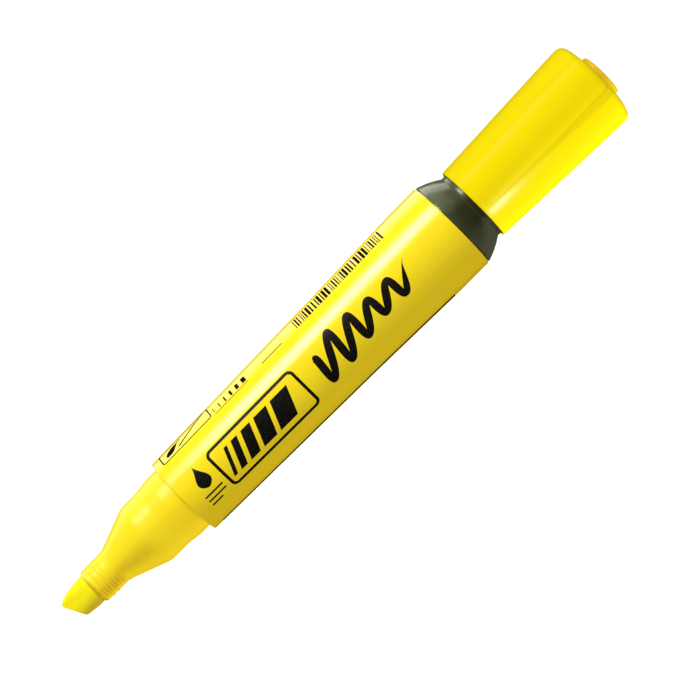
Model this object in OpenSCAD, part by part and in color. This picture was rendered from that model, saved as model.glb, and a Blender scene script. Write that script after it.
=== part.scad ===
// Chisel-tip highlighter with its cap posted on the rear plug.
// X runs along the pen's axis from the nib to the cap, and Z is up. The origin is on the axis, in the
// middle of the cylindrical band at the barrel's rear, where a loop or the ring of a stand holds it.
// A turned piece is a list of corners: [radius, distance behind the barrel's front rim], with the
// corner's rounding radius third where it has one.

/* [Barrel] */
// Length of the barrel
barrel_len = 69.5; // [66:0.5:74]
// Outer diameter of the barrel at its front rim
barrel_front_d = 16.4; // [16.2:0.1:16.8]
// Outer diameter of the barrel at its rear, the widest place of the pen
barrel_rear_d = 19; // [18.8:0.1:19.6]
// Wall of the barrel where the plug goes in
barrel_wall = 1.2; // [1.0:0.05:1.3]

/* [Nose] */
// How far the nose collar stands ahead of the barrel
nose_reach = 23.4; // [22.6:0.1:23.8]
// Diameter of the land just ahead of the barrel, which the cap's bore fits when the pen is closed
cap_land_d = 14.06; // [14.0:0.01:14.1]
// Diameter of the thin collar round the nib
collar_d = 7.2; // [7.1:0.05:7.3]

/* [Nib] */
// How far the nib's tip stands ahead of the barrel
nib_reach = 29.9; // [29.5:0.1:30.4]
// Diameter of the fibre rod that the nib is cut from
nib_rod_d = 6.1; // [6.0:0.05:6.15]
// Thickness of the chisel edge, which draws the thin line
chisel_edge = 1.4; // [1.2:0.1:2]
// Slant of the chisel's end, in degrees from square
chisel_slant = 27.5; // [20:0.5:32]

/* [Ink reservoir] */
// Diameter of the fibre core
reservoir_d = 11.5; // [11:0.1:11.6]
// Thickness of the clear film round it
film_t = 0.15; // [0.1:0.01:0.15]

/* [Rear plug] */
// Length of the plug's dome that shows between the barrel and the cap
dome_len = 5.35; // [5.3:0.05:6]
// Diameter of the neck that the cap is pushed on
neck_d = 14.16; // [14.1:0.01:14.2]
// Length of that neck
neck_len = 8.6; // [7:0.1:10]

/* [Cap] */
// Length of the cap's shell
cap_len = 32; // [31:0.1:33]
// Outer diameter at the cap's mouth
cap_mouth_d = 15.9; // [15.7:0.05:16.2]
// Outer diameter at the cap's closed end
cap_end_d = 18.4; // [18:0.1:18.6]
// Inner diameter of the cap's shell
cap_bore_d = 14.3; // [14.28:0.01:14.34]
// Number of flutes round the cap
flutes = 6; // [5:1:8]
// Depth of a flute at the closed end
flute_depth = 0.6; // [0.4:0.05:0.8]
// How far the seal's closed end stands out of the cap
boss_h = 1.4; // [1:0.1:2.2]

/* [Hidden] */
$fn = 96;
eps = 0.1;                 // how far a cutter reaches past what it cuts

// Radii
front_r = barrel_front_d / 2;
rear_r = barrel_rear_d / 2;
land_r = cap_land_d / 2;
collar_r = collar_d / 2;
rod_r = nib_rod_d / 2;
core_r = reservoir_d / 2;
film_r = core_r + film_t;
neck_r = neck_d / 2;
plug_seat_r = rear_r - barrel_wall;

// Snap beads, the lead-in chamfers of what is pushed in, and small gaps
snap_h = 0.17;
snap_w = 0.9;
groove_gap = 0.05;         // how much deeper and wider a groove is than its bead
lead_in = 0.3;
lead_len = 0.6;
push_gap = 0.02;           // radial gap of a skirt in its seat
touch_gap = 0.05;          // between a piece and what stops it
edge_round = 0.2;

// Barrel
belly_x = 42;              // place along the barrel where its taper steepens a little
belly_share = 0.56;        // share of the barrel's growth in radius reached there
belly_round = 150;
band_len = 6.5;            // the barrel's cylindrical rear band
band_round = 60;
nose_seat_r = 7.35;        // bore that holds the nose's skirt
nose_seat_len = 10;
barrel_ribs = 6;
rib_t = 1;
rib_x = 12;
rib_end = barrel_len - 13;
rib_r = film_r + touch_gap;    // inner edge of the ribs
core_front_r = nose_seat_r + 0.15;    // the barrel's inside widens from here
core_rear_r = plug_seat_r - 0.15;     // to here

// Nose
skirt_r = nose_seat_r - push_gap;
skirt_len = 9;
skirt_x = 0.2;             // front end of the skirt, just inside the barrel's rim
snap_x = 4.7;              // middle of the bead that snaps into the barrel
land_x = 0.1;              // rear end of the land
land_end = -2.6;
body_r = 6.65;             // nose ahead of the land
body_x = -5.6;
cavity_r = film_r + touch_gap;    // inside of the nose behind its cone
shoulder_x = -9.7;         // where the cone begins
stem_x = -17.65;           // where the cone meets the collar's stem
stem_end = -19.6;
stem_r = collar_r + 0.05;
bore_end_x = -15.5;        // rear end of the nib's bore
collar_beads = [-20.3, -21.5];
collar_bead_h = 0.12;
collar_bead_w = 0.8;
collar_round = 0.45;
fin_x = -8.6;              // rear face of the fins, which stops the reservoir
fin_t = 0.8;

// Reservoir and nib
reservoir_x = fin_x + touch_gap;
reservoir_end = barrel_len - 11;
tail_x = fin_x + 0.1;      // where the nib's rod starts to taper into its tail
nib_tail_x = -1;           // rear end of that tail, inside the reservoir
nib_tail_r = 1.5;
nib_head_r = rod_r + 0.1;
nib_head_len = 1.3;
nib_cheek = [2.8, 2.3 - nib_reach];
nib_tip_r = 2;
tip_setback = 0.6;         // the chisel edge is measured this far behind the tip
wedge_x = 0.4 - nose_reach;    // where the chisel's flats begin
heel_y = -2.83;            // the low side of the slanted end
heel_x = 2.3 - nib_reach;

// Plug
plug_skirt_r = plug_seat_r - push_gap;
plug_skirt_x = barrel_len - 9;
plug_wall = 1;
plug_inner_r = plug_skirt_r - plug_wall;
plug_snap_x = barrel_len - 5;
dome_r = rear_r - 0.08;
dome_x = barrel_len + 0.1;
waist_r = neck_r + 0.12;
dome_share = 0.315;        // share of the dome's fall reached at its bulge
dome_bulge = [dome_r - dome_share * (dome_r - waist_r), barrel_len + 2.45];
dome_round = 15;
stop_r = neck_r + 0.2;     // ring that the cap's mouth comes up against
stop_t = 0.35;
stop_x = barrel_len + dome_len - stop_t;
waist = [waist_r, stop_x - 0.2];
waist_round = 0.3;
neck_x = barrel_len + dome_len;
neck_end = neck_x + neck_len;
neck_round = 0.5;
hollow_x = barrel_len + 1.2;

// Cap
cap_gap = 0.15;            // between the stop ring and the cap's mouth
cap_x = neck_x + cap_gap;
cap_mouth_r = cap_mouth_d / 2;
cap_end_r = cap_end_d / 2;
cap_bore_r = cap_bore_d / 2;
cap_mouth_round = 0.25;
cap_end_round = 1.1;
end_wall = 1;
flute_pitch = 360 / flutes;
ridge_turn = 28;           // the first ridge, in degrees from the top towards -Y
flute_wall = 0.8;          // run of a flute's steep wall, measured round the cap
tooth_lead = 30;           // how far a tooth's off-centre circle leans back from its ridge
tooth_off = flute_depth / (cos(tooth_lead) - cos(tooth_lead + flute_pitch));
tooth_end_r = cap_end_r - tooth_off * cos(tooth_lead);
tooth_mouth_r = cap_mouth_r + 0.03;    // the flutes die out at the mouth
vents = 3;
vent_w = 1.9;
vent_in_r = 5.3;
vent_bite = 0.15;          // how far a vent reaches into the ridge beside it
seal_mouth = 17.8;         // mouth of the inner seal, behind the cap's mouth
seal_r = 4.32;
seal_gap = 0.01;           // radial gap of the seal in the cap's end wall
seal_bore_r = collar_r + 0.15;
seal_flange_r = 5.1;
seal_flange_t = 0.8;
seal_end_t = 1;
boss_round = 0.35;

// The origin is in the middle of the barrel's rear band
band_x = barrel_len - band_len / 2;
front_x = -band_x;

// Carries a child drawn along +Z, with its cross-section in (Y, Z), to its place along the pen.
module along_pen(x = 0) {
    translate([front_x + x, 0, 0]) rotate([90, 0, 90]) children();
}

function unit(v) = v / norm(v);
function turn_between(a, b) = (b - a + 540) % 360 - 180;

// The arc of radius r that is tangent to both sides of corner b, on the way from a to c.
function blend(a, b, c, r, steps = 6) =
    let (u = unit(a - b), v = unit(c - b), half = acos(u * v) / 2,
         mid = b + unit(u + v) * r / sin(half),
         from = b + u * r / tan(half) - mid, to = b + v * r / tan(half) - mid,
         a0 = atan2(from[1], from[0]), sweep = turn_between(a0, atan2(to[1], to[0])))
    [for (i = [0:steps]) mid + r * [cos(a0 + sweep * i / steps), sin(a0 + sweep * i / steps)]];

function flat(p) = [p[0], p[1]];
function rounded(corners) =
    let (n = len(corners))
    [for (i = [0:n - 1])
        let (p = corners[i])
        each len(p) < 3 ? [p]
            : blend(flat(corners[(i + n - 1) % n]), flat(p), flat(corners[(i + 1) % n]), p[2])];

// Turns a closed list of corners about the pen's axis.
module turned(corners) {
    rotate_extrude() polygon(rounded(corners));
}

// A low bead with sloping sides on a surface of radius r, from front to rear.
function bead(r, x, h, w) = [[r, x - w / 2], [r + h, x - w / 4], [r + h, x + w / 4], [r, x + w / 2]];
function backwards(list) = [for (i = [len(list) - 1:-1:0]) list[i]];

// Flat fins through the axis, from x0 to x1, each making two blades.
module fins(count, t, r, x0, x1) {
    for (i = [0:count - 1])
        rotate([0, 0, i * 180 / count])
            translate([-r, -t / 2, x0]) cube([2 * r, t, x1 - x0]);
}

module barrel() {
    groove_h = snap_h + groove_gap;
    groove_w = snap_w + 4 * groove_gap;
    belly_r = front_r + belly_share * (rear_r - front_r);
    outside = [
        [front_r, 0, edge_round], [belly_r, belly_x, belly_round],
        [rear_r, barrel_len - band_len, band_round], [rear_r, barrel_len, edge_round]];
    inside = concat(
        [[plug_seat_r, barrel_len]],
        backwards(bead(plug_seat_r, plug_snap_x, groove_h, groove_w)),
        [[plug_seat_r, rib_end + 2], [core_rear_r, rib_end], [core_front_r, rib_x - 1],
         [nose_seat_r, nose_seat_len]],
        backwards(bead(nose_seat_r, snap_x, groove_h, groove_w)),
        [[nose_seat_r, 0]]);
    color("gold") along_pen() {
        turned(concat(outside, inside));
        intersection() {
            difference() {
                fins(barrel_ribs / 2, rib_t, plug_seat_r, rib_x, rib_end);
                translate([0, 0, rib_x - 1]) cylinder(r = rib_r, h = barrel_len);
            }
            turned([[0, rib_x], [core_front_r + eps, rib_x], [core_rear_r + eps, rib_end],
                    [0, rib_end]]);
        }
    }
}

module nose_section() {
    outside = concat(
        [[cavity_r, skirt_len], [skirt_r - lead_in, skirt_len], [skirt_r, skirt_len - lead_len]],
        backwards(bead(skirt_r, snap_x, snap_h, snap_w)),
        [[skirt_r, skirt_x], [land_r, land_x], [land_r, land_end, 3], [body_r, body_x, 6],
         [body_r, shoulder_x, 4.4], [stem_r, stem_x, 6], [stem_r, stem_end]],
        [for (x = collar_beads) each backwards(bead(collar_r, x, collar_bead_h, collar_bead_w))],
        [[collar_r, -nose_reach, collar_round]]);
    inside = [[rod_r, -nose_reach], [rod_r, bore_end_x], [cavity_r, shoulder_x]];
    color("yellow") along_pen() {
        turned(concat(outside, inside));
        intersection() {
            difference() {
                fins(2, fin_t, cavity_r, bore_end_x, fin_x);
                translate([0, 0, bore_end_x - 1]) cylinder(r = rod_r, h = 10);
            }
            turned([[0, bore_end_x], [rod_r + eps, bore_end_x], [cavity_r + eps, shoulder_x],
                    [cavity_r + eps, fin_x], [0, fin_x]]);
        }
    }
}

module nib() {
    far = 20;
    flat_run = nib_reach - tip_setback + wedge_x;
    flat_turn = atan((nib_head_r - chisel_edge / 2) / flat_run);
    color("yellow") along_pen() difference() {
        turned([
            [0, nib_tail_x], [nib_tail_r, nib_tail_x], [rod_r, tail_x], [rod_r, -nose_reach],
            [nib_head_r, -nose_reach], [nib_head_r, -nose_reach - nib_head_len, 4],
            [nib_cheek[0], nib_cheek[1], 6], [nib_tip_r, -nib_reach, 0.8], [0, -nib_reach]]);
        // the chisel's two flats
        for (side = [-1, 1])
            translate([0, side * chisel_edge / 2, tip_setback - nib_reach])
                rotate([-side * flat_turn, 0, 0])
                    translate([-far / 2, side > 0 ? 0 : -far, -far / 2]) cube([far, far, far]);
        // the slanted end
        translate([heel_y, 0, heel_x]) rotate([0, chisel_slant, 0])
            translate([-far / 2, -far / 2, -far]) cube([far, far, far]);
    }
}

module ink_reservoir() {
    color("khaki") along_pen() turned([
        [nib_tail_r, nib_tail_x], [rod_r, tail_x], [rod_r, reservoir_x], [core_r, reservoir_x],
        [core_r, reservoir_end], [0, reservoir_end], [0, nib_tail_x]]);
}

module reservoir_film() {
    color("lightcyan") along_pen() turned([
        [core_r, reservoir_x], [film_r, reservoir_x], [film_r, reservoir_end], [core_r, reservoir_end]]);
}

module end_plug() {
    hollow_r = neck_r - plug_wall;
    fin_front = reservoir_end + touch_gap;
    fin_rear = barrel_len + 2.5;
    outside = concat(
        [[plug_inner_r, plug_skirt_x], [plug_skirt_r - lead_in, plug_skirt_x],
         [plug_skirt_r, plug_skirt_x + lead_len]],
        bead(plug_skirt_r, plug_snap_x, snap_h - groove_gap, snap_w),
        [[plug_skirt_r, barrel_len], [dome_r - 0.1, barrel_len], [dome_r, dome_x, 0.1],
         [dome_bulge[0], dome_bulge[1], dome_round], [waist[0], waist[1], waist_round],
         [stop_r, stop_x, 0.1], [stop_r, neck_x], [neck_r, neck_x],
         [neck_r, neck_end, neck_round], [0, neck_end]]);
    inside = [[0, neck_end - plug_wall], [hollow_r, neck_end - plug_wall], [hollow_r, hollow_x],
              [plug_inner_r, barrel_len]];
    color("darkolivegreen") along_pen() {
        turned(concat(outside, inside));
        intersection() {
            fins(2, rib_t, plug_skirt_r, fin_front, fin_rear);
            turned([[0, fin_front], [core_r, fin_front], [core_r, plug_skirt_x],
                    [plug_inner_r + eps, plug_skirt_x], [plug_inner_r + eps, barrel_len],
                    [hollow_r + eps, hollow_x], [hollow_r + eps, fin_rear], [0, fin_rear]]);
        }
    }
}

// One tooth's share of the cross-section, from its ridge's steep wall to the next ridge.
module tooth_slice(x0, x1) {
    far = 14;
    foot = [cap_end_r - flute_depth, -flute_wall];
    ridge = [cap_end_r, 0];
    translate([0, 0, x0]) linear_extrude(x1 - x0)
        polygon([[0, 0], foot + (foot - ridge) * 2, ridge + (ridge - foot) * 4,
                 [far * cos(flute_pitch / 2), far * sin(flute_pitch / 2)] * 1.3,
                 [far * cos(flute_pitch), far * sin(flute_pitch)]]);
}

// The fluted outside: each tooth is a piece of an off-centre cone, so that it sinks slowly from
// its ridge and ends at the steep wall of the next one. The flutes deepen towards the closed end.
module fluted_form() {
    reach = 1;
    growth = (tooth_end_r - tooth_mouth_r) / cap_len;
    for (i = [0:flutes - 1]) {
        ridge = 90 + ridge_turn + i * flute_pitch;
        intersection() {
            rotate([0, 0, ridge]) tooth_slice(-reach, cap_len + reach);
            rotate([0, 0, ridge - tooth_lead]) translate([tooth_off, 0, -reach])
                cylinder(r1 = tooth_mouth_r - growth * reach, r2 = tooth_end_r + growth * reach,
                         h = cap_len + 2 * reach);
        }
    }
}

module cap_shell() {
    color("gold") along_pen(cap_x) difference() {
        intersection() {
            turned([[0, 0], [cap_mouth_r, 0, cap_mouth_round], [cap_end_r, cap_len, cap_end_round],
                    [0, cap_len]]);
            fluted_form();
        }
        translate([0, 0, -eps]) cylinder(r = cap_bore_r, h = cap_len - end_wall + eps);
        cylinder(r1 = cap_bore_r + cap_mouth_round, r2 = cap_bore_r, h = cap_mouth_round);
        cylinder(r = seal_r + seal_gap, h = cap_len + eps);
        // vents past the seal, each in the low end of a flute
        for (i = [0:vents - 1])
            rotate([0, 0, 90 + ridge_turn + i * 360 / vents])
                translate([vent_in_r, vent_bite - vent_w, cap_len - end_wall - eps])
                    cube([10, vent_w, end_wall + 1]);
    }
}

module cap_inner_seal() {
    seal_end = cap_len + boss_h;
    inner_face = cap_len - end_wall;
    flange_x = inner_face - seal_flange_t;
    color("orange") along_pen(cap_x) turned([
        [seal_bore_r + 0.1, seal_mouth], [seal_r - lead_in, seal_mouth],
        [seal_r, seal_mouth + lead_in],
        [seal_r, flange_x], [seal_flange_r, flange_x], [seal_flange_r, inner_face],
        [seal_r, inner_face], [seal_r, seal_end, boss_round], [0, seal_end],
        [0, seal_end - seal_end_t], [seal_bore_r, seal_end - seal_end_t],
        [seal_bore_r, seal_mouth + lead_in]]);
}

barrel();
nose_section();
nib();
ink_reservoir();
reservoir_film();
end_plug();
cap_shell();
cap_inner_seal();
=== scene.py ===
"""A chisel-tip highlighter with its cap posted on the rear plug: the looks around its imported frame.

Outlines are lists of corners, [radius, distance, rounding radius], in millimetres. The distance is
measured behind the barrel's front rim, or behind the cap's mouth for the cap's two pieces. Angles
round the pen are degrees from the top towards -Y.
"""

import math

import bmesh
import bpy
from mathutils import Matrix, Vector


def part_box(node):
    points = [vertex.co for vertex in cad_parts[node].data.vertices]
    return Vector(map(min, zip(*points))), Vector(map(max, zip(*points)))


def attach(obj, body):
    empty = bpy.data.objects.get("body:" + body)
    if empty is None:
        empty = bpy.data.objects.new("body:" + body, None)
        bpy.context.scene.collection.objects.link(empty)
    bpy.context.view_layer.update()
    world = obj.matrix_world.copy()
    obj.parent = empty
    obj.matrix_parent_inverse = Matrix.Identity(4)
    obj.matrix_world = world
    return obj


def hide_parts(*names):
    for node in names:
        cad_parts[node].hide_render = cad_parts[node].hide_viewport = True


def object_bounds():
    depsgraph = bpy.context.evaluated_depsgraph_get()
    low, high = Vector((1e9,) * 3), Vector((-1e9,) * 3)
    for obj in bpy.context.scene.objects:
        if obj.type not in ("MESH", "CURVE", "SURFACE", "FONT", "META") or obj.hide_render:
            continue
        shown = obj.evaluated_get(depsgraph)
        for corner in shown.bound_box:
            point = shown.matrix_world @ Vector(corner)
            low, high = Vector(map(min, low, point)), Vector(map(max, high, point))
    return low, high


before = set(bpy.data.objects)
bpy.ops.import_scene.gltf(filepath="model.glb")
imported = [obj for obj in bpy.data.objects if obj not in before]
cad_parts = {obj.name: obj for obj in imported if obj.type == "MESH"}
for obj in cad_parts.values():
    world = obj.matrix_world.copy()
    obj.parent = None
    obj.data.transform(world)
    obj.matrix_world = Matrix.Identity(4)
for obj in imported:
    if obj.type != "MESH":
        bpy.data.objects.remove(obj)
cad_low, cad_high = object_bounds()

# ---------------------------------------------------------------- sizes taken from the frame

MM = 0.001
TINY = 1e-6

barrel_low, barrel_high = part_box("barrel")
cap_low, cap_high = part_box("cap_shell")
seal_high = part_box("cap_inner_seal")[1]
nib_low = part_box("nib")[0]
nose_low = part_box("nose_section")[0]
plug_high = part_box("end_plug")[1]

FRONT_X = barrel_low.x
CAP_X = cap_low.x
AXIS_Z = (barrel_low.z + barrel_high.z) / 2
BARREL_LEN = (barrel_high.x - barrel_low.x) / MM
REAR_R = (barrel_high.z - barrel_low.z) / 2 / MM
NOSE_REACH = (FRONT_X - nose_low.x) / MM
NIB_REACH = (FRONT_X - nib_low.x) / MM
NECK_END = (plug_high.x - FRONT_X) / MM
CAP_LEN = (cap_high.x - cap_low.x) / MM
SEAL_END = (seal_high.x - CAP_X) / MM

# ---------------------------------------------------------------- sizes of the pieces

EDGE_ROUND = 0.2
SHARP_ANGLE = 34        # a mesh edge that turns by more degrees than this is a hard one

# Barrel
FRONT_R = 8.2
BELLY = (8.928, 42.0)
BAND_LEN = 6.5
PLUG_SEAT_R = REAR_R - 1.2
NOSE_SEAT_R = 7.35
NOSE_SEAT_LEN = 10.0
CORE_FRONT_R = NOSE_SEAT_R + 0.15
CORE_REAR_R = PLUG_SEAT_R - 0.15
RIBS = 6
RIB_X = 12.0
RIB_END = BARREL_LEN - 13.0
RIB_R = 5.95
RIB_T = 1.0
RIB_MID_R = 7.0         # a rib is as thick as it says at this radius

# Snap beads and lead-ins
SNAP_H = 0.17
SNAP_W = 0.9
GROOVE_GAP = 0.05
LEAD_IN = 0.3
LEAD_LEN = 0.6

# Nose
SKIRT_R = NOSE_SEAT_R - 0.02
SKIRT_LEN = 9.0
SNAP_X = 4.7
LAND_R = 7.03
LAND_X = -2.6
BODY_R = 6.65
BODY_X = -5.6
SHOULDER_X = -9.7
STEM_X = -17.65
STEM_END = -19.6
COLLAR_R = 3.6
COLLAR_BEADS = (-20.3, -21.5)
COLLAR_BEAD_H = 0.12
COLLAR_BEAD_W = 0.8
COLLAR_ROUND = 0.45
ROD_R = 3.05
CAVITY_R = 5.95
BORE_END = -15.5
FIN_X = -8.6
FINS = 4
FIN_T = 0.8
FIN_MID_R = 4.5         # a fin is as thick as it says at this radius
# fine ridges in a patch on the collar's side, where the finger steadies the nose in assembly
RIDGE_PATCH = (-22.8, -18.0)
RIDGE_TURN = (38.0, 17.0)
RIDGE_PITCH = 0.66
RIDGE_H = 0.13

# Nib
NIB_TAIL_R = 1.5
NIB_TAIL_X = -1.0
NIB_TAPER_X = -8.5
NIB_GAP = 0.12          # the fine joint between the collar and the nib's shoulder
CHISEL_HALF_T = 0.7
CHISEL_SETBACK = 0.6
CHISEL_SLANT = 27.5
FLAT_ROUND = 1.1        # how softly the rod turns into the chisel's flat sides
END_ROUND = 0.3         # how softly the sides turn into the slanted end
HEEL = (-2.83, 2.3)     # Y of the slanted end's low side, and how far it lies behind the tip

# Plug
DOME_R = REAR_R - 0.08
DOME_SHARE = 0.315      # how far the dome has closed in towards the waist at its middle
DOME_MID = 2.45
DOME_GAP = 0.2          # the dark joint between the barrel and the dome
DOME_GAP_R = DOME_R - 0.7
PLUG_SKIRT_R = PLUG_SEAT_R - 0.02
PLUG_INNER_R = PLUG_SKIRT_R - 1.0
PLUG_SNAP_X = BARREL_LEN - 5.0
PLUG_SKIRT_LEN = 9.0
PLUG_FIN_T = 1.0
NECK_R = 7.08
NECK_LEN = 8.6
NECK_X = NECK_END - NECK_LEN
STOP_R = NECK_R + 0.2
STOP_T = 0.35
WAIST_R = NECK_R + 0.12

# Cap
CAP_MOUTH_R = 7.95
CAP_END_R = 9.2
CAP_BORE_R = 7.15
END_WALL = 1.0
SEAL_HOLE_R = 4.33
FLUTES = 6
FLUTE_PITCH = 360 / FLUTES
FLUTE_DEPTH = 0.6
RIDGE_AT = 28.0         # the first ridge
FLUTE_WALL = 1.8        # run of a flute's steep wall
TOOTH_LEAD = 30.0       # lean of each tooth's off-centre circle
RIDGE_ROUND = 0.16
FLUTE_FADE = (5.5, 7.9)  # on the end wall the flutes deepen between these radii
VENTS = 3
VENT_W = 1.9
VENT_IN_R = 5.3
VENT_LEN = 1.7
SEAL_MOUTH = 17.8
SEAL_R = 4.32
SEAL_BORE_R = 3.75
FLANGE_R = 5.1
FLANGE_T = 0.8
DIMPLE_R = 1.1
DIMPLE_DEPTH = 0.12


# ---------------------------------------------------------------- mesh helpers

def corner_arc(before, corner, after, radius, steps):
    """The arc of that radius, tangent to both sides of a corner."""
    a, b, c = (Vector(p[:2]) for p in (before, corner, after))
    back, ahead = (a - b).normalized(), (c - b).normalized()
    half = back.angle(ahead) / 2
    middle = b + (back + ahead).normalized() * (radius / math.sin(half))
    start = b + back * (radius / math.tan(half)) - middle
    end = b + ahead * (radius / math.tan(half)) - middle
    first = math.atan2(start.y, start.x)
    sweep = (math.atan2(end.y, end.x) - first + math.pi) % (2 * math.pi) - math.pi
    turns = [first + sweep * i / steps for i in range(steps + 1)]
    return [(middle.x + radius * math.cos(t), middle.y + radius * math.sin(t)) for t in turns]


def rounded(corners, steps=8):
    """A closed list of corners as (radius, distance) points, with the roundings filled in."""
    outline = []
    for i, corner in enumerate(corners):
        if len(corner) < 3:
            outline.append((corner[0], corner[1]))
            continue
        after = corners[(i + 1) % len(corners)]
        outline += corner_arc(corners[i - 1], corner, after, corner[2], steps)
    return outline


def divided(outline, longest):
    """The closed outline again, with its long sides cut into steps no longer than that."""
    points = []
    for (r0, d0), (r1, d1) in zip(outline, outline[1:] + outline[:1]):
        steps = 1
        if max(r0, r1) > TINY:
            steps = max(1, math.ceil(math.hypot(r1 - r0, d1 - d0) / longest))
        points += [(r0 + (r1 - r0) * i / steps, d0 + (d1 - d0) * i / steps) for i in range(steps)]
    return points


def bead(radius, middle, height, width):
    """A low bead with sloping sides, from front to rear."""
    quarter = width / 4
    return [[radius, middle - 2 * quarter], [radius + height, middle - quarter, 0.1],
            [radius + height, middle + quarter, 0.1], [radius, middle + 2 * quarter]]


def smooth_step(x, low, high):
    t = min(max((x - low) / (high - low), 0), 1)
    return t * t * (3 - 2 * t)


def soft_min(a, b, reach):
    """The lower of two numbers, with the change from one to the other rounded over reach."""
    near = max(reach - abs(a - b), 0) / reach
    return min(a, b) - near * near * reach / 4


def join_rings(bm, ring, following):
    """Faces between two rings, either of which may be one point on the axis."""
    if len(ring) == 1 and len(following) == 1:
        return
    count = max(len(ring), len(following))
    for k in range(count):
        after = (k + 1) % count
        if len(ring) == 1:
            bm.faces.new((ring[0], following[after], following[k]))
        elif len(following) == 1:
            bm.faces.new((ring[k], ring[after], following[0]))
        else:
            bm.faces.new((ring[k], ring[after], following[after], following[k]))


def finished(name, bm):
    """The mesh as an object with smooth faces, and hard edges only where it turns sharply."""
    bmesh.ops.recalc_face_normals(bm, faces=bm.faces)
    mesh = bpy.data.meshes.new(name)
    bm.to_mesh(mesh)
    bm.free()
    mesh.shade_smooth()
    mesh.set_sharp_from_angle(angle=math.radians(SHARP_ANGLE))
    piece = bpy.data.objects.new(name, mesh)
    bpy.context.scene.collection.objects.link(piece)
    return piece


def turned(name, outline, start_x=FRONT_X, segments=192, form=None, place=None):
    """A closed outline turned about the pen's axis. form changes a point's radius by where it is,
    and place moves the finished point."""
    bm = bmesh.new()
    rings = []
    for radius, distance in outline:
        ring = []
        for k in range(segments if radius > TINY else 1):
            turn = 360 * k / segments
            r = form(radius, distance, turn) if form and radius > TINY else radius
            across, up = r * math.sin(math.radians(turn)), r * math.cos(math.radians(turn))
            point = (distance, -across, up)
            if place:
                point = place(*point)
            ring.append(bm.verts.new((start_x + point[0] * MM, point[1] * MM, AXIS_Z + point[2] * MM)))
        rings.append(ring)
    for ring, following in zip(rings, rings[1:] + rings[:1]):
        join_rings(bm, ring, following)
    return finished(name, bm)


def slab(name, corners, thickness, turn):
    """A flat plate through the pen's axis: an outline of (height, distance) from the axis, made
    symmetric, thickened, and turned about the axis."""
    bm = bmesh.new()
    both = [(h, d) for h, d in corners] + [(-h, d) for h, d in reversed(corners)]
    angle = math.radians(turn)
    sides = []
    for offset in (-thickness / 2, thickness / 2):
        side = []
        for height, distance in both:
            y = offset * math.cos(angle) - height * math.sin(angle)
            z = offset * math.sin(angle) + height * math.cos(angle)
            side.append(bm.verts.new((FRONT_X + distance * MM, y * MM, AXIS_Z + z * MM)))
        sides.append(side)
        bm.faces.new(side)
    join_rings(bm, *sides)
    return finished(name, bm)


def combine(piece, tool, operation):
    """Unites the tool with the piece, or cuts it out, and removes the tool."""
    modifier = piece.modifiers.new("combine", "BOOLEAN")
    modifier.operation = operation
    modifier.solver = "EXACT"
    modifier.object = tool
    bpy.context.view_layer.update()
    graph = bpy.context.evaluated_depsgraph_get()
    mesh = bpy.data.meshes.new_from_object(piece.evaluated_get(graph))
    piece.modifiers.clear()
    piece.data = mesh
    bpy.data.objects.remove(tool)
    mesh.shade_smooth()
    mesh.set_sharp_from_angle(angle=math.radians(SHARP_ANGLE))


def in_blade(turn, count, thickness, at_radius):
    """Is an angle within one of count blades, spaced evenly and that thick at a radius?"""
    pitch = 360 / count
    off = (turn + pitch / 2) % pitch - pitch / 2
    return abs(off) <= math.degrees(thickness / 2 / at_radius)


# ---------------------------------------------------------------- pieces

def barrel_outside():
    return [[FRONT_R, 0, EDGE_ROUND], [*BELLY, 150], [REAR_R, BARREL_LEN - BAND_LEN, 60],
            [REAR_R, BARREL_LEN, EDGE_ROUND]]


def make_barrel():
    groove_h, groove_w = SNAP_H + GROOVE_GAP, SNAP_W + 4 * GROOVE_GAP
    inside = [[PLUG_SEAT_R, BARREL_LEN, 0.1],
              *reversed(bead(PLUG_SEAT_R, PLUG_SNAP_X, groove_h, groove_w)),
              [PLUG_SEAT_R, RIB_END + 2], [CORE_REAR_R, RIB_END + 0.1], [CORE_REAR_R, RIB_END],
              [CORE_FRONT_R, RIB_X], [CORE_FRONT_R, RIB_X - 0.1], [NOSE_SEAT_R, NOSE_SEAT_LEN],
              *reversed(bead(NOSE_SEAT_R, SNAP_X, groove_h, groove_w)), [NOSE_SEAT_R, 0, 0.1]]

    def ribbed(radius, distance, turn):
        inside_wall = radius <= CORE_REAR_R and RIB_X <= distance <= RIB_END
        return RIB_R if inside_wall and in_blade(turn, RIBS, RIB_T, RIB_MID_R) else radius

    return turned("barrel_shell", rounded(barrel_outside() + inside), form=ribbed)


def collar_ridges(distance, turn):
    """Height of the fine ridges at a place on the collar."""
    low, high = RIDGE_PATCH
    middle, half = RIDGE_TURN
    along = smooth_step(distance, low, low + 0.4) * smooth_step(-distance, -high, 0.4 - high)
    around = smooth_step(-abs(turn - middle), -half, 5 - half)
    wave = 0.5 + 0.5 * math.cos(2 * math.pi * (distance - low) / RIDGE_PITCH)
    return RIDGE_H * (wave - 0.5) * along * around


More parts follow.
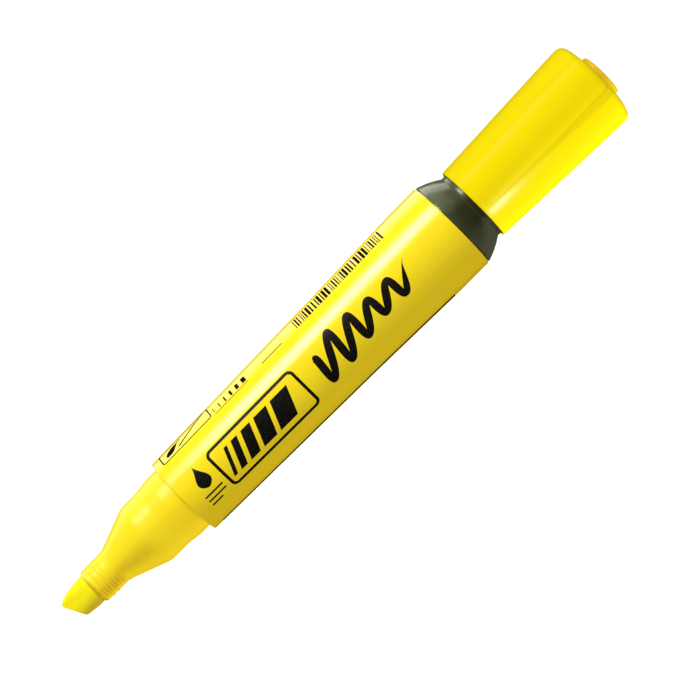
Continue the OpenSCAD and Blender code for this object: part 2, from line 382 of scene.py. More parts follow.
def make_nose():
    stem_r = COLLAR_R + 0.05
    beads = [corner for x in COLLAR_BEADS
             for corner in reversed(bead(COLLAR_R, x, COLLAR_BEAD_H, COLLAR_BEAD_W))]
    outside = [[CAVITY_R, SKIRT_LEN], [SKIRT_R - LEAD_IN, SKIRT_LEN], [SKIRT_R, SKIRT_LEN - LEAD_LEN],
               *reversed(bead(SKIRT_R, SNAP_X, SNAP_H, SNAP_W)),
               [SKIRT_R, 0.2], [LAND_R, 0.1], [LAND_R, LAND_X, 3], [BODY_R, BODY_X, 6],
               [BODY_R, SHOULDER_X, 4.4], [stem_r, STEM_X, 6], [stem_r, STEM_END], *beads,
               [COLLAR_R, -NOSE_REACH, COLLAR_ROUND]]
    inside = [[ROD_R, -NOSE_REACH, 0.05], [ROD_R, BORE_END], [CAVITY_R, SHOULDER_X],
              [CAVITY_R, FIN_X], [CAVITY_R, FIN_X + 0.05]]

    def shaped(radius, distance, turn):
        if radius > ROD_R + 0.3 and distance < STEM_X:
            return radius + collar_ridges(distance, turn)
        inside_wall = ROD_R < radius <= CAVITY_R and BORE_END < distance <= FIN_X
        cone = ROD_R + (distance - BORE_END) * (CAVITY_R - ROD_R) / (SHOULDER_X - BORE_END)
        if inside_wall and radius < cone + 0.1 and in_blade(turn, FINS, FIN_T, FIN_MID_R):
            return ROD_R
        return radius

    outline = divided(rounded(outside + inside), longest=0.16)
    return turned("nose_cone", outline, form=shaped)


def make_nib():
    head_r = ROD_R + 0.1
    outline = divided(rounded([
        [0, NIB_TAIL_X], [NIB_TAIL_R, NIB_TAIL_X, 0.2], [ROD_R, NIB_TAPER_X], [ROD_R, -NOSE_REACH],
        [ROD_R, -NOSE_REACH - NIB_GAP], [head_r, -NOSE_REACH - NIB_GAP, 0.08],
        [head_r, -NOSE_REACH - 1.3, 4], [2.8, 2.3 - NIB_REACH, 6], [2, -NIB_REACH, 0.8],
        [0, -NIB_REACH]]), longest=0.12)
    flats_x = 0.4 - NOSE_REACH
    rise = (head_r - CHISEL_HALF_T) / (NIB_REACH - CHISEL_SETBACK + flats_x)
    slant = math.tan(math.radians(CHISEL_SLANT))

    def cut(x, y, z):
        """Flattens the two sides, then squares off the end along the slant."""
        half = CHISEL_HALF_T + rise * (x + NIB_REACH - CHISEL_SETBACK)
        if x < flats_x + 1:
            z = math.copysign(max(soft_min(abs(z), half, FLAT_ROUND), 0), z)
        end_x = HEEL[1] - NIB_REACH - (y - HEEL[0]) * slant
        if x < flats_x:
            x = -soft_min(-x, -end_x, END_ROUND)
        return x, y, z

    return turned("felt_nib", outline, segments=256, place=cut)


def make_plug():
    hollow_r = NECK_R - 1
    hollow_x = BARREL_LEN + 1.2
    skirt_x = BARREL_LEN - PLUG_SKIRT_LEN
    stop_x = NECK_X - STOP_T
    gap_x = BARREL_LEN + DOME_GAP
    bulge_r = DOME_R - DOME_SHARE * (DOME_R - WAIST_R)
    outside = [[PLUG_INNER_R, skirt_x], [PLUG_SKIRT_R - LEAD_IN, skirt_x],
               [PLUG_SKIRT_R, skirt_x + LEAD_LEN],
               *bead(PLUG_SKIRT_R, PLUG_SNAP_X, SNAP_H - GROOVE_GAP, SNAP_W),
               [PLUG_SKIRT_R, BARREL_LEN], [DOME_GAP_R, BARREL_LEN], [DOME_GAP_R, gap_x],
               [DOME_R - 0.1, gap_x], [DOME_R - 0.03, gap_x + 0.1, 0.08],
               [bulge_r, BARREL_LEN + DOME_MID, 15], [WAIST_R, stop_x - 0.2, 0.3],
               [STOP_R, stop_x, 0.1], [STOP_R, NECK_X, 0.1], [NECK_R, NECK_X],
               [NECK_R, NECK_END, 0.5], [0, NECK_END]]
    inside = [[0, NECK_END - 1], [hollow_r, NECK_END - 1, 0.3], [hollow_r, hollow_x],
              [PLUG_INNER_R, BARREL_LEN]]
    plug = turned("rear_plug", rounded(outside + inside))
    fin_front, fin_rear = BARREL_LEN - 10.95, BARREL_LEN + 2.5
    blade = [(CAVITY_R - 0.2, fin_front), (CAVITY_R - 0.2, skirt_x),
             (PLUG_INNER_R + 0.3, skirt_x + 0.01), (PLUG_INNER_R + 0.3, BARREL_LEN - 0.3),
             (hollow_r + 0.3, hollow_x), (hollow_r + 0.3, fin_rear)]
    for turn in (0, 90):
        combine(plug, slab("fin", blade, PLUG_FIN_T, turn), "UNION")
    return plug


def tooth_radius(turn, distance):
    """Radius of the saw-toothed form: each tooth sinks slowly from its ridge to the next one's wall."""
    lead = math.cos(math.radians(TOOTH_LEAD))
    offset = FLUTE_DEPTH / (lead - math.cos(math.radians(TOOTH_LEAD + FLUTE_PITCH)))
    share = distance / CAP_LEN
    circle = (CAP_MOUTH_R + 0.03) * (1 - share) + (CAP_END_R - offset * lead) * share

    def at(past):
        lean = math.radians(past + TOOTH_LEAD)
        return offset * math.cos(lean) + math.sqrt(circle ** 2 - (offset * math.sin(lean)) ** 2)

    past = (turn - RIDGE_AT) % FLUTE_PITCH
    wall = math.degrees(FLUTE_WALL / CAP_END_R)
    climb = smooth_step(past, FLUTE_PITCH - wall, FLUTE_PITCH + 0.6)
    return at(past) * (1 - climb) + at(past - FLUTE_PITCH) * climb


def make_cap():
    outline = divided(rounded([
        [CAP_BORE_R, 0.3], [CAP_BORE_R + 0.25, 0, 0.08], [CAP_MOUTH_R, 0, 0.25],
        [CAP_END_R, CAP_LEN, 1.6], [SEAL_HOLE_R + 0.1, CAP_LEN], [SEAL_HOLE_R, CAP_LEN - 0.1],
        [SEAL_HOLE_R, CAP_LEN - END_WALL], [CAP_BORE_R, CAP_LEN - END_WALL, 0.3]]), longest=0.8)

    def fluted(radius, distance, turn):
        cone = CAP_MOUTH_R + (CAP_END_R - CAP_MOUTH_R) * distance / CAP_LEN
        if radius < CAP_BORE_R + 0.3 and distance < CAP_LEN - END_WALL + TINY:
            return radius
        sunk = cone - soft_min(cone, tooth_radius(turn, distance), RIDGE_ROUND)
        return radius - sunk * smooth_step(radius, *FLUTE_FADE)

    cap = turned("fluted_cap", outline, start_x=CAP_X, segments=360, form=fluted)
    for i in range(VENTS):
        combine(cap, vent_cutter(RIDGE_AT + i * 360 / VENTS), "DIFFERENCE")
    return cap


def vent_cutter(ridge):
    """A slot with rounded corners, through the cap's end wall beside the seal."""
    bm = bmesh.new()
    bmesh.ops.create_cube(bm, size=1)
    angle = math.radians(ridge)
    out = Vector((0, -math.sin(angle), math.cos(angle)))
    round_on = Vector((0, -math.cos(angle), -math.sin(angle)))
    along = Vector((1, 0, 0))
    for v in bm.verts:
        place = (out * (VENT_IN_R + VENT_LEN * (v.co.z + 0.5)) + round_on * VENT_W * v.co.y
                 + along * ((CAP_LEN - END_WALL / 2) + v.co.x * END_WALL * 1.3))
        v.co = Vector((CAP_X, 0, AXIS_Z)) + place * MM
    lengthwise = [e for e in bm.edges if abs((e.verts[0].co - e.verts[1].co).x) > TINY]
    bmesh.ops.bevel(bm, geom=lengthwise, offset=0.35 * MM, segments=4, affect="EDGES", profile=0.5)
    return finished("vent", bm)


def make_seal():
    inner_face = CAP_LEN - END_WALL
    flange_x = inner_face - FLANGE_T
    return turned("inner_seal", rounded([
        [SEAL_BORE_R + 0.1, SEAL_MOUTH], [SEAL_R - LEAD_IN, SEAL_MOUTH],
        [SEAL_R, SEAL_MOUTH + LEAD_IN], [SEAL_R, flange_x, 0.1], [FLANGE_R, flange_x, 0.1],
        [FLANGE_R, inner_face], [SEAL_R, inner_face], [SEAL_R, SEAL_END, 0.35],
        [DIMPLE_R + 0.1, SEAL_END], [DIMPLE_R, SEAL_END - DIMPLE_DEPTH],
        [0, SEAL_END - DIMPLE_DEPTH], [0, SEAL_END - 1], [SEAL_BORE_R, SEAL_END - 1, 0.3],
        [SEAL_BORE_R, SEAL_MOUTH + LEAD_IN]]), start_x=CAP_X)


# ---------------------------------------------------------------- printed marks on the barrel

# A place in a mark is (mm behind the barrel's front rim, mm round it from its top towards -Y).
PRINT_R = 9.0           # a mark's width round the barrel is measured at this radius
INK_PROUD = 0.02
INK_SUNK = 0.02
BARREL_CURVE = rounded([[FRONT_R, 0], *barrel_outside()[1:3], [REAR_R, BARREL_LEN]])


def barrel_radius(distance):
    """The barrel's outer radius at a distance behind its front rim."""
    for (r0, d0), (r1, d1) in zip(BARREL_CURVE, BARREL_CURVE[1:]):
        if d0 <= distance <= d1:
            return r0 + (r1 - r0) * (distance - d0) / (d1 - d0)
    return REAR_R


def on_barrel(along, around, lift):
    """A point on the barrel: along behind its rim, around from its top towards -Y, lift off it."""
    radius = (barrel_radius(along) + lift) * MM
    turn = around / PRINT_R
    return (FRONT_X + along * MM, -radius * math.sin(turn), AXIS_Z + radius * math.cos(turn))


def ink(bm, points, halves, closed=False, side=None, columns=4):
    """A thin film of ink along points (along, around). halves are half widths, across the line of
    the points, or along a fixed side direction."""
    count = len(points)
    layers = [[], []]
    for i, (point, half) in enumerate(zip(points, halves)):
        before = points[i - 1] if closed or i > 0 else point
        after = points[(i + 1) % count] if closed or i < count - 1 else point
        across = Vector(side) if side else (Vector(after) - Vector(before)).normalized().orthogonal()
        for layer, lift in zip(layers, (INK_PROUD, -INK_SUNK)):
            row = []
            for c in range(columns + 1):
                at = Vector(point) + across * half * (2 * c / columns - 1)
                row.append(bm.verts.new(on_barrel(at.x, at.y, lift)))
            layer.append(row)
    top, bottom = layers
    for i in range(count if closed else count - 1):
        j = (i + 1) % count
        for c in range(columns):
            bm.faces.new((top[i][c], top[i][c + 1], top[j][c + 1], top[j][c]))
            bm.faces.new((bottom[i][c], bottom[j][c], bottom[j][c + 1], bottom[i][c + 1]))
        for c in (0, columns):
            bm.faces.new((top[i][c], top[j][c], bottom[j][c], bottom[i][c]))
    if not closed:
        for i in (0, count - 1):
            for c in range(columns):
                bm.faces.new((top[i][c], bottom[i][c], bottom[i][c + 1], top[i][c + 1]))


def line(start, end, steps):
    """Points from start to end."""
    return [tuple(a + (b - a) * i / steps for a, b in zip(start, end)) for i in range(steps + 1)]


def stroke(bm, start, end, steps, half, **options):
    """A straight film of ink of one width."""
    path = line(start, end, steps)
    ink(bm, path, [half] * len(path), **options)


def round_frame(bm, low, high, radius, half):
    """A film of ink round a rectangle with rounded corners."""
    path = []
    (left, bottom), (right, top) = low, high
    steps, longest = 12, 0.6
    for x, y, first in ((right, top, 0), (left, top, 90), (left, bottom, 180), (right, bottom, 270)):
        middle_x = x - math.copysign(radius, x - (left + right) / 2)
        middle_y = y - math.copysign(radius, y - (bottom + top) / 2)
        for i in range(steps + 1):
            turn = math.radians(first + 90 * i / steps)
            path.append((middle_x + radius * math.cos(turn), middle_y + radius * math.sin(turn)))
    full = []
    for a, b in zip(path, path[1:] + path[:1]):
        full += line(a, b, max(1, math.ceil((Vector(b) - Vector(a)).length / longest)))[:-1]
    ink(bm, full, [half] * len(full), closed=True, columns=2)


def print_badge(bm):
    """A plain frame with leaning bars in it, from a thin one to a thick one."""
    round_frame(bm, (8.6, -2.6), (30.0, 6.0), 1.0, 0.3)
    at, lean, gap = 10.7, 1.1, 1.0
    for width in (0.8, 1.5, 2.3, 3.2, 4.2):
        middle = at + width / 2
        stroke(bm, (middle + lean, -1.1), (middle - lean, 4.5), 20, width / 2, side=(1, 0))
        at += width + gap


def print_drop(bm):
    """A drop of ink over three ruled lines."""
    tip, foot, middle = -3.0, 2.3, 5.2
    steps = 40
    points, halves = [], []
    for i in range(steps + 1):
        share = i / steps
        points.append((middle, tip + (foot - tip) * share))
        halves.append(max(0.02, 1.7 * math.sin(math.pi * share ** 1.7) ** 0.75 * (0.55 + 0.45 * share)))
    ink(bm, points, halves, side=(1, 0), columns=8)
    left = middle - 2.1
    for around, half in ((3.5, 2.1), (4.6, 2.1), (5.7, 1.3)):
        stroke(bm, (left, around), (left + 2 * half, around), 8, 0.17, columns=2)


def print_squiggle(bm):
    """A bold hand-drawn squiggle, thicker where the stroke runs across the pen."""
    start, end, waves, steps = 33.6, 57.6, 5.0, 360
    points, halves = [], []
    for i in range(steps + 1):
        share = i / steps
        swing = 3.7 - 1.6 * share + 0.5 * math.sin(7 * share)
        phase = 2 * math.pi * waves * share
        around = 1.3 - 0.9 * share - swing * math.cos(phase) * smooth_step(share, -0.05, 0.06)
        along = start + (end - start) * share - 0.32 * (around - 1.1)
        points.append((along, around))
        steep = abs(math.sin(phase))
        taper = smooth_step(share, 0, 0.03) * smooth_step(1 - share, 0, 0.09)
        halves.append((0.42 + 0.34 * steep) * max(taper, 0.06))
    ink(bm, points, halves)


def print_pictogram(bm):
    """A box with a chisel tip and the line that it draws."""
    round_frame(bm, (1.9, -12.4), (14.2, -8.1), 0.5, 0.13)
    chisel = line((3.2, -9.1), (7.0, -11.4), 14)
    halves = [0.12 + 0.75 * math.sin(math.pi * min(1, i / 11) ** 0.8) for i in range(len(chisel))]
    ink(bm, chisel, halves)
    stroke(bm, (6.2, -9.0), (13.2, -11.9), 20, 0.2, columns=2)


def print_line_widths(bm):
    """Strokes from thin to thick: what the chisel draws on its edge, its corner and its side."""
    at = 15.2
    for width in (0.14, 0.22, 0.34, 0.5, 0.7, 0.95):
        stroke(bm, (at, -9.9), (at, -8.2), 6, width / 2, side=(1, 0), columns=2)
        at += width / 2 + 1.35
    stroke(bm, (15.1, -7.7), (23.6, -7.7), 10, 0.07, columns=2)


def print_stock_bars(bm):
    """A row of upright bars of mixed widths that stands for a stock label and holds no code."""
    at, end, step = 36.4, 58.9, 0
    while at < end:
        width = (0.18, 0.36, 0.18, 0.55, 0.27)[(step * step + step // 3) % 5]
        gap = (0.3, 0.22, 0.45, 0.25)[(step * 3 + step // 4) % 4]
        middle = at + width / 2
        stroke(bm, (middle, -11.2), (middle, -7.9), 10, width / 2, side=(1, 0), columns=2)
        at += width + gap
        step += 1


def print_edge_rule(bm):
    """A long rule along the barrel's side, where the printed panel ends, wider to the rear."""
    path = line((2.2, 12.8), (60.9, 12.8), 60)
    front_half, growth = 0.82, 0.003
    ink(bm, path, [front_half + growth * i for i in range(len(path))], columns=5)


def print_short_rule(bm):
    """A short rule beside the line widths."""
    stroke(bm, (27.4, -8.2), (32.5, -8.2), 8, 0.1, columns=2)


def make_prints():
    """Each mark as a piece with the name of the function that draws it."""
    made = []
    for draw in (print_badge, print_drop, print_squiggle, print_pictogram, print_line_widths,
                 print_stock_bars, print_edge_rule, print_short_rule):
        bm = bmesh.new()
        draw(bm)
        made.append(finished(draw.__name__, bm))
    return made


# ---------------------------------------------------------------- materials

class Material:
    """A node material whose Principled shader's sockets are set or linked by name."""

    def __init__(self, name):
        self.made = bpy.data.materials.new(name)
        self.made.use_nodes = True
        self.tree = self.made.node_tree
        self.shader = self.tree.nodes["Principled BSDF"]
        self.place = self.node("ShaderNodeTexCoord").outputs["Object"]

    def node(self, kind, **settings):
        made = self.tree.nodes.new(kind)
        for name, value in settings.items():
            setattr(made, name, value)
        return made

    def link(self, source, target):
        self.tree.links.new(source, target)

    def set(self, **values):
        for name, value in values.items():
            self.shader.inputs[name.replace("_", " ")].default_value = value

    def stretched(self, scale):
        """The place on the object, scaled along each axis."""
        mapping = self.node("ShaderNodeMapping")
        mapping.inputs["Scale"].default_value = scale
        self.link(self.place, mapping.inputs["Vector"])
        return mapping.outputs["Vector"]

    def noise(self, size_mm, detail=3.0, stretch=None):
        """Noise with features of that size, from 0 to 1."""
        noise = self.node("ShaderNodeTexNoise")
        noise.inputs["Scale"].default_value = 1 / (size_mm * MM)
        noise.inputs["Detail"].default_value = detail
        self.link(self.stretched(stretch) if stretch else self.place, noise.inputs["Vector"])
        return noise.outputs["Fac"]

    def ranged(self, value, from_low, from_high, low, high):
        """A value moved from one range to another."""
        change = self.node("ShaderNodeMapRange")
        limits = {"From Min": from_low, "From Max": from_high, "To Min": low, "To Max": high}
        for name, number in limits.items():
            change.inputs[name].default_value = number
        self.link(value, change.inputs["Value"])
        return change.outputs["Result"]

    def mixed(self, share, first, second):
        """A colour between two, each a colour or another node's output."""
        mix = self.node("ShaderNodeMix", data_type="RGBA")
        self.link(share, mix.inputs["Factor"])
        colours = [s for s in mix.inputs if s.type == "RGBA"]
        for socket, colour in zip(colours, (first, second)):
            if isinstance(colour, bpy.types.NodeSocket):
                self.link(colour, socket)
            else:
                socket.default_value = (*colour, 1)
        return [s for s in mix.outputs if s.type == "RGBA"][0]

    def maths(self, operation, first, second=0):
        """A maths node on one or two values, each a number or another node's output."""
        node = self.node("ShaderNodeMath", operation=operation)
        for socket, value in zip(node.inputs, (first, second)):
            if isinstance(value, bpy.types.NodeSocket):
                self.link(value, socket)
            else:
                socket.default_value = value
        return node.outputs["Value"]

    def axes(self):
        """The place on the object as its X, Y and Z."""
        parts = self.node("ShaderNodeSeparateXYZ")
        self.link(self.place, parts.inputs["Vector"])
        return [parts.outputs[axis] for axis in "XYZ"]

    def pen_place(self):
        """Millimetres behind the barrel's front rim, and degrees round the pen."""
        x, y, z = self.axes()
        behind = self.maths("DIVIDE", self.maths("SUBTRACT", x, FRONT_X), MM)
        turn = self.maths("ARCTAN2", self.maths("MULTIPLY", y, -1), self.maths("SUBTRACT", z, AXIS_Z))
        return behind, self.maths("MULTIPLY", turn, 180 / math.pi)

    def window(self, value, low, high, soft):
        """1 where a value lies between low and high, falling to 0 over soft outside them."""
        rise = self.ranged(value, low - soft, low, 0, 1)
        fall = self.ranged(value, high, high + soft, 1, 0)
        return self.maths("MULTIPLY", rise, fall)

    def patch(self, place, along, around):
        """1 in a patch of the pen. along and around are (from, to, softness), for pen_place."""
        behind, turn = place
        return self.maths("MULTIPLY", self.window(behind, *along), self.window(turn, *around))

    def bumped(self, heights):
        """Bumps one on another: each is (height, strength, distance in mm)."""
        normal = None
        for height, strength, distance in heights:
            bump = self.node("ShaderNodeBump")
            bump.inputs["Strength"].default_value = strength
            bump.inputs["Distance"].default_value = distance * MM
            self.link(height, bump.inputs["Height"])
            if normal:
                self.link(normal, bump.inputs["Normal"])
            normal = bump.outputs["Normal"]
        self.link(normal, self.shader.inputs["Normal"])


PLASTIC_IOR = 1.49
# brown for the collar's marks and for its painted shade
COLLAR_BROWN = (0.5, 0.25, 0.004)
RIM_COVER = 0.6         # how much of the nose's yellow the brown hides at the collar's rim
PAINTED_SHADE_COVER = 0.3       # and how much the painted shade hides behind the ridges
PAINTED_SHADE_END = -12.0       # the painted shade's rear end, behind the barrel's front rim
NIB_PAINTED_SHADE = (-0.2, -2.6)  # painted shade darkens the nib's -Y side, more and more between these two Y
LIGHT_OLIVE = (0.115, 0.125, 0.07)
GREEN_SHEEN = (0.9, 1, 0.7, 1)


def moulded_plastic(name, colour, deep, roughness, gloss=0.5, painted_glow=0.0, marks_and_painted_shade=None):
    """Moulded plastic: faint clouds and flow lines in its colour, an uneven gloss with fine scuffs,
    and a surface that ripples very slightly. The glow is painted light, an even emission in the
    plastic's colour that lifts its shaded side. The last argument gives the share and colour of the
    brown marks on the nose and the smoke clouds on the plug, with the painted shade that each carries."""
    material = Material(name)
    clouds = material.noise(9, detail=4)
    flow_lines = material.noise(1.6, detail=5, stretch=(0.06, 1, 1))
    cloudy = material.mixed(material.ranged(clouds, 0.35, 0.65, 0, 1), colour, deep)
    brighter = tuple(min(1, c * 1.03) for c in colour)
    paint = material.mixed(material.ranged(flow_lines, 0.55, 0.75, 0, 0.5), cloudy, brighter)
    # the marks given here carry painted shade as well
    if marks_and_painted_shade:
        share, mark_colour = marks_and_painted_shade(material)
        paint = material.mixed(share, paint, mark_colour)
    material.link(paint, material.shader.inputs["Base Color"])
    scuffs = material.noise(0.5, detail=6, stretch=(1, 0.18, 0.18))
    material.link(material.ranged(scuffs, 0.3, 0.7, roughness - 0.03, roughness + 0.04),
                  material.shader.inputs["Roughness"])
    pores, ripples = material.noise(0.35, detail=2), material.noise(4, detail=2)
    material.bumped([(pores, 0.03, 0.02), (ripples, 0.1, 0.05)])
    # the emission is painted light, an even glow that lifts the shaded side
    material.set(IOR=PLASTIC_IOR, Specular_IOR_Level=gloss, Emission_Color=(*colour, 1),
                 Emission_Strength=painted_glow)
    return material


def collar_browns_and_painted_shade(material):
    """Brown stripes at the ridges' pitch in the collar's ridged patch, brown at the rim where the nib
    goes in, and behind the ridges a painted shade on the nose's -Y side.
    """
    place = material.pen_place()
    ridges_front, ridges_rear = RIDGE_PATCH
    wave = material.maths("SINE", material.maths("MULTIPLY", place[0], 2 * math.pi / RIDGE_PITCH))
    ridges = material.patch(place, (ridges_front, ridges_rear, 0.5), (24, 52, 12))
    ridges = material.maths("MULTIPLY", ridges, material.ranged(wave, -1, 1, 0.2, 0.65))
    rim = material.patch(place, (-NOSE_REACH - 0.2, 0.5 - NOSE_REACH, 0.25), (-20, 80, 25))
    # painted shade: a darker band on the nose's -Y side, behind the ridges
    collar_painted_shade = material.patch(place, (ridges_rear, PAINTED_SHADE_END, 4), (16, 26, 16))
    cover = material.maths("MAXIMUM", ridges, material.maths("MULTIPLY", rim, RIM_COVER))
    cover = material.maths("MAXIMUM", cover, material.maths("MULTIPLY", collar_painted_shade, PAINTED_SHADE_COVER))
    blots = material.ranged(material.noise(0.9, detail=4), 0.3, 0.6, 0.55, 1)
    return material.maths("MULTIPLY", cover, blots), COLLAR_BROWN


def barrel_plastic():
    return moulded_plastic("barrel_plastic", (0.94, 0.72, 0.006), (0.92, 0.69, 0.006), 0.22)


def nose_plastic():
    # the nose's glow is painted light that lifts its shaded side
    return moulded_plastic("nose_plastic", (0.92, 0.71, 0.006), (0.9, 0.68, 0.006), 0.34, gloss=0.3,
                           painted_glow=0.02, marks_and_painted_shade=collar_browns_and_painted_shade)


def cap_plastic():
    return moulded_plastic("cap_plastic", (0.91, 0.66, 0.001), (0.9, 0.645, 0.001), 0.28, gloss=0.05)


def seal_plastic():
    return moulded_plastic("seal_plastic", (0.84, 0.5, 0.006), (0.8, 0.45, 0.004), 0.36, gloss=0.3)


def plug_smoke_and_painted_shade(material):
    """Clouds of a lighter olive in the smoky plastic, held back on top near the cap, where a painted
    shade keeps the plastic dark.
    """
    behind, turn = material.pen_place()
    clouds = material.ranged(material.noise(5, detail=3), 0.35, 0.65, 0.45, 1)
    near_cap = material.ranged(behind, BARREL_LEN, NECK_X - 2, 0.6, 0.95)
    # painted shade: the plug's top near the cap is kept dark
    dark = material.maths("MULTIPLY", material.window(turn, -8, 20, 16), near_cap)
    return material.maths("MULTIPLY", clouds, material.maths("SUBTRACT", 1, dark)), LIGHT_OLIVE


def plug_plastic():
    material = moulded_plastic("plug_plastic", (0.026, 0.028, 0.01), (0.018, 0.018, 0.005), 0.2,
                               marks_and_painted_shade=plug_smoke_and_painted_shade)
    material.set(Specular_Tint=(0.95, 1, 0.7, 1), Sheen_Weight=0.15, Sheen_Roughness=0.45,
                 Sheen_Tint=GREEN_SHEEN)
    return material


def nib_fibre():
    """Bonded fibres along the nib, matt and soaked with ink, with painted shade darkening its -Y side.
    """
    material = Material("nib_fibre")
    fibres = material.noise(0.16, detail=4, stretch=(0.12, 1, 1))
    clumps = material.noise(1.1, detail=4, stretch=(0.4, 1, 1))
    paint = material.mixed(material.ranged(fibres, 0.3, 0.7, 0, 1), (0.93, 0.79, 0.002),
                           (0.98, 0.88, 0.004))
    paint = material.mixed(material.ranged(clumps, 0.4, 0.7, 0, 0.35), paint, (0.92, 0.74, 0.001))
    shade_from, shade_to = NIB_PAINTED_SHADE
    # painted shade: the nib's -Y side is made darker
    shade_share = material.ranged(material.axes()[1], shade_from * MM, shade_to * MM, 0, 0.85)
    paint = material.mixed(shade_share, paint, (0.5, 0.35, 0.02))
    material.link(paint, material.shader.inputs["Base Color"])
    material.link(material.ranged(fibres, 0.3, 0.7, 0.62, 0.9), material.shader.inputs["Roughness"])
    material.bumped([(fibres, 0.35, 0.04), (clumps, 0.15, 0.05)])
    material.set(IOR=1.4, Specular_IOR_Level=0.2)
    return material


def reservoir_fibre():
    """A bundle of wet fibre, coarser than the nib's."""
    material = Material("reservoir_fibre")
    fibres = material.noise(0.3, detail=5, stretch=(0.05, 1, 1))
    patches = material.noise(6, detail=3)
    paint = material.mixed(material.ranged(fibres, 0.3, 0.7, 0, 1), (0.8, 0.68, 0.01),
                           (0.95, 0.88, 0.05))
    paint = material.mixed(material.ranged(patches, 0.35, 0.65, 0, 0.4), paint, (0.78, 0.64, 0.005))
    material.link(paint, material.shader.inputs["Base Color"])
    material.link(material.ranged(fibres, 0.3, 0.7, 0.55, 0.85), material.shader.inputs["Roughness"])
    material.bumped([(fibres, 0.5, 0.1)])
    return material


def clear_film():
    """Thin clear film with faint wrinkles."""
    material = Material("clear_film")
    wrinkles = material.noise(1.5, detail=4, stretch=(0.3, 1, 1))
    tint = material.mixed(material.ranged(wrinkles, 0.3, 0.7, 0, 1), (0.96, 0.97, 0.9),
                          (0.9, 0.93, 0.8))
    material.link(tint, material.shader.inputs["Base Color"])
    material.link(material.ranged(wrinkles, 0.3, 0.7, 0.05, 0.16), material.shader.inputs["Roughness"])
    material.bumped([(wrinkles, 0.2, 0.05)])
    material.set(Alpha=0.35, IOR=PLASTIC_IOR)
    return material


def print_ink():
    """Black pad-printing ink, a little uneven in its cover."""
    material = Material("print_ink")
    cover = material.noise(0.4, detail=5)
    tone = material.mixed(material.ranged(cover, 0.35, 0.75, 0, 1), (0.004, 0.004, 0.003),
                          (0.014, 0.011, 0.006))
    material.link(tone, material.shader.inputs["Base Color"])
    material.link(material.ranged(cover, 0.3, 0.7, 0.32, 0.5), material.shader.inputs["Roughness"])
    material.bumped([(cover, 0.1, 0.01)])
    material.set(Specular_IOR_Level=0.25)
    return material


# ---------------------------------------------------------------- stage, light and camera

# The camera looks straight down on the pen, rolled so that the pen climbs to the right
ROLL = 45.3
AIM_ALONG = 40.35       # behind the barrel's front rim
AIM_SIDE = -1.47        # along Y from the pen's axis
CAMERA_HEIGHT = 0.55
FIELD = 0.1259          # width of the picture at the pen's axis
SENSOR = 36.0

FLOOR_HALF = 3.0        # metres
FLOOR_GAP = 0.02        # millimetres under the pen
SKY_ON_PEN = 0.57       # brightness of the world as it lights the pen
SKY_SEEN = 0.97         # and as the camera sees it


def make_camera():
    data = bpy.data.cameras.new("camera")
    data.sensor_width = SENSOR
    data.lens = SENSOR * CAMERA_HEIGHT / FIELD
    camera = bpy.data.objects.new("camera", data)
    camera.location = (FRONT_X + AIM_ALONG * MM, AIM_SIDE * MM, AXIS_Z + CAMERA_HEIGHT)
    camera.rotation_euler = (0, 0, -math.radians(ROLL))
    data.clip_start, data.clip_end = 0.01, 20
    bpy.context.scene.collection.objects.link(camera)
    bpy.context.scene.camera = camera


def soft_box(name, along, turn, distance, size, radiance, pieces, colour=(1, 1, 1), diffuse=True,
             glossy=True):
    """A soft rectangular light for some pieces only, aimed at the pen's axis. along is its X, turn
    its angle round the pen, and size its length along the pen and its width across. diffuse and
    glossy say whether it lights their colour and whether it shows in their gloss."""
    data = bpy.data.lights.new(name, "AREA")
    data.shape = "RECTANGLE"
    data.size, data.size_y = size
    data.energy = radiance * math.pi * size[0] * size[1]
    data.color = colour
    target = Vector((along, 0, AXIS_Z))
    out = Vector((0, -math.sin(math.radians(turn)), math.cos(math.radians(turn))))
    light = bpy.data.objects.new(name, data)
    light.location = target + out * distance
    light.rotation_euler = (-out).to_track_quat("-Z", "Y").to_euler()
    light.visible_camera = False
    light.visible_diffuse = diffuse
    light.visible_glossy = glossy
    bpy.context.scene.collection.objects.link(light)
    group = bpy.data.collections.new(name + "_receivers")
    for piece in pieces:
        group.objects.link(piece)
    light.light_linking.receiver_collection = group
    return light


def make_lights(barrel, nose, nib, plug, cap, seal, prints):
    """The photograph lights the pen, the cap and the nose each in its own way, so each light is
    kept for its pieces. Lengths are in metres."""
    middle = (cad_low.x + cad_high.x) / 2
    cap_middle = (CAP_X + cap_high.x) / 2
    whole_cap = [cap, seal]
    soft_box("left_soft_box", middle, turn=-55, distance=0.45, size=(0.2, 0.17), radiance=16.5,
             pieces=[barrel, nose, nib, plug, *prints])
    low_card = soft_box("left_low_card", middle, turn=-90, distance=0.04, size=(0.16, 0.045),
                        radiance=2.5, pieces=[nose, nib, barrel, plug], diffuse=False)
    low_card.location.z = cad_low.z + 0.5 * MM
    low_card.rotation_euler = (math.pi, 0, 0)       # it lies under the pen's side and faces up
    soft_box("cap_soft_box", cap_middle, turn=-40, distance=0.45, size=(0.15, 0.15), radiance=18.5,
             pieces=whole_cap, colour=(0.82, 1, 0.6), glossy=False)
    soft_box("cap_streak_light", cap_middle, turn=-62, distance=0.45, size=(0.2, 0.06), radiance=12,
             pieces=whole_cap, diffuse=False)
    soft_box("cap_edge_light", CAP_X + 3 * MM, turn=44, distance=0.038, size=(0.004, 0.008),
             radiance=270, pieces=[cap], diffuse=False)
    for name, along, radiance, colour, pieces in (
            ("cap_side_fill", cap_middle, 230, (0.75, 1, 0.5), whole_cap),
            ("nose_side_fill", nose_low.x, 110, (1, 0.85, 0.6), [nose, nib]),
            ("barrel_side_fill", middle, 36, (1, 0.68, 0.7), [barrel])):
        soft_box(name, along, turn=95, distance=0.4, size=(0.05, 0.05), radiance=radiance,
                 pieces=pieces, colour=colour, glossy=False)


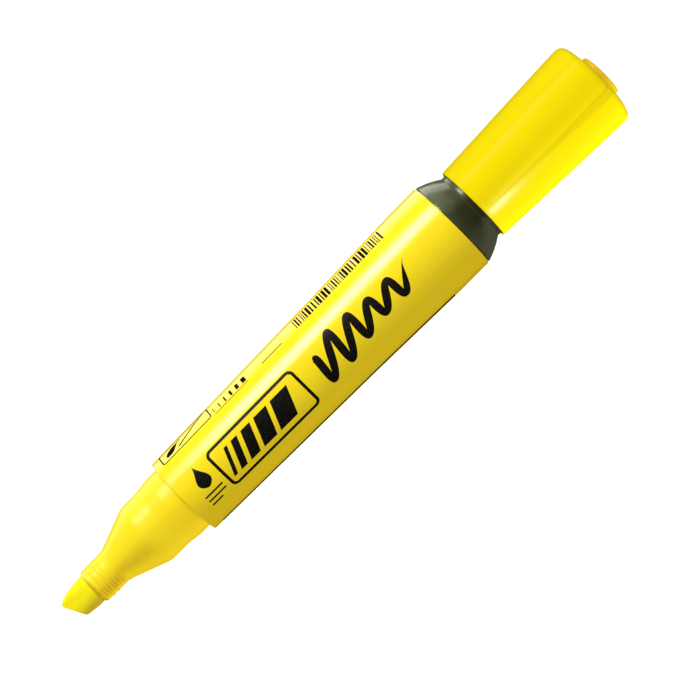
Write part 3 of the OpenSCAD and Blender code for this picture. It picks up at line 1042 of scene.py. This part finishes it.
def make_floor():
    """A pale sheet, lit from below like a light table. The pen takes no light, shadow or
    reflection from it."""
    bm = bmesh.new()
    bmesh.ops.create_grid(bm, x_segments=8, y_segments=8, size=FLOOR_HALF)
    floor = finished("floor", bm)
    floor.location = (0, 0, cad_low.z - FLOOR_GAP * MM)
    floor.visible_glossy = False
    floor.visible_diffuse = False
    floor.visible_shadow = False
    material = Material("floor_sheet")
    grain = material.noise(400, detail=2)
    tone = material.mixed(grain, (0.86, 0.86, 0.86), (0.88, 0.88, 0.88))
    material.link(tone, material.shader.inputs["Base Color"])
    material.set(Roughness=0.9, Emission_Color=(1, 1, 1, 1), Emission_Strength=0.8)
    floor.data.materials.append(material.made)


def make_world():
    """Pale all round where the camera sees it, a dimmer soft light on the pen, and not in its gloss."""
    world = bpy.data.worlds.new("studio")
    bpy.context.scene.world = world
    world.use_nodes = True
    world.cycles_visibility.glossy = False
    world.cycles.sampling_method = "NONE"
    tree = world.node_tree
    background = tree.nodes["Background"]
    path = tree.nodes.new("ShaderNodeLightPath")
    strength = tree.nodes.new("ShaderNodeMapRange")
    strength.inputs["To Min"].default_value = SKY_ON_PEN
    strength.inputs["To Max"].default_value = SKY_SEEN
    tree.links.new(path.outputs["Is Camera Ray"], strength.inputs["Value"])
    tree.links.new(strength.outputs["Result"], background.inputs["Strength"])
    background.inputs["Color"].default_value = (1, 1, 1, 1)


# ---------------------------------------------------------------- everything together

def put(piece, material, body, nodes=()):
    """Gives a piece its material, the body that it rides on, and the CAD nodes that it stands for."""
    piece.data.materials.clear()
    piece.data.materials.append(material.made)
    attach(piece, body)
    if nodes:
        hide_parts(*nodes)


make_camera()
make_floor()
make_world()
bpy.context.scene.view_settings.view_transform = "Standard"

barrel = make_barrel()
nose = make_nose()
nib = make_nib()
plug = make_plug()
cap = make_cap()
seal = make_seal()
put(barrel, barrel_plastic(), "pen", ["barrel"])
put(nose, nose_plastic(), "pen", ["nose_section"])
put(nib, nib_fibre(), "pen", ["nib"])
put(plug, plug_plastic(), "pen", ["end_plug"])
put(cap, cap_plastic(), "cap", ["cap_shell"])
put(seal, seal_plastic(), "cap", ["cap_inner_seal"])
ink_material = print_ink()
prints = make_prints()
for piece in prints:
    put(piece, ink_material, "pen")
make_lights(barrel, nose, nib, plug, cap, seal, prints)

for node_name, material in (("ink_reservoir", reservoir_fibre()), ("reservoir_film", clear_film())):
    for material_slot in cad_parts[node_name].material_slots:
        material_slot.material = material.made
